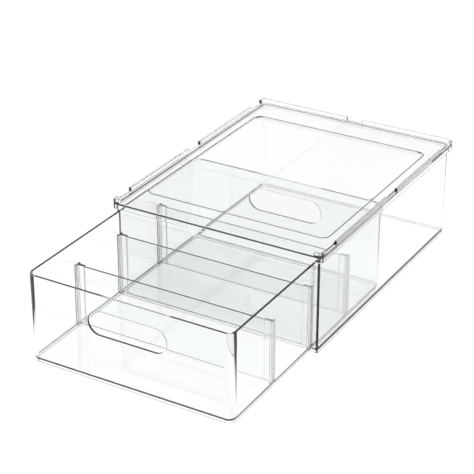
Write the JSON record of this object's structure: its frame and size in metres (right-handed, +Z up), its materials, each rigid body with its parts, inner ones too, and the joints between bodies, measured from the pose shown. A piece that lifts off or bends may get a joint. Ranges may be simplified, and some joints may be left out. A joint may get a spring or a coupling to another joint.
{
  "type": "stackable drawer organiser",
  "caption": "Clear stackable organiser: an open-fronted case with a railed cover and a pull-out drawer with lift-out dividers and pill-shaped finger holes.",
  "frame": {"origin": "bottom centre of the whole object with its drawer part-way out, on the surface that the case stands on", "axes": "+Z up, +Y towards the back of the case, so the drawer pulls out towards -Y, and +X to the right as seen from the front"},
  "size_m": [0.216, 0.4186, 0.101],
  "materials": {
    "clear_case": "clear moulded polystyrene, polished",
    "clear_cover": "clear moulded polystyrene, polished",
    "clear_drawer": "clear moulded polystyrene, polished",
    "clear_divider": "clear moulded polystyrene, polished"
  },
  "bodies": {
    "case": {"case_body": "clear_case"},
    "cover": {"top_cover": "clear_cover"},
    "drawer": {"drawer": "clear_drawer"},
    "divider_front": {"divider_front": "clear_divider"},
    "divider_middle": {"divider_middle": "clear_divider"},
    "divider_rear": {"divider_rear": "clear_divider"}
  },
  "joints": [
    {"name": "drawer_slide", "type": "slide", "parent": "case", "child": "drawer", "axis": [0, -1, 0], "range_m": [-0.1386, 0.14]},
    {"name": "cover_lift", "type": "slide", "parent": "case", "child": "cover", "axis": [0, 0, 1], "range_m": [0, 0.04]},
    {"name": "divider_front_lift", "type": "slide", "parent": "drawer", "child": "divider_front", "axis": [0, 0, 1], "range_m": [0, 0.084]},
    {"name": "divider_middle_lift", "type": "slide", "parent": "drawer", "child": "divider_middle", "axis": [0, 0, 1], "range_m": [0, 0.084]},
    {"name": "divider_rear_lift", "type": "slide", "parent": "drawer", "child": "divider_rear", "axis": [0, 0, 1], "range_m": [0, 0.0246]}
  ]
}
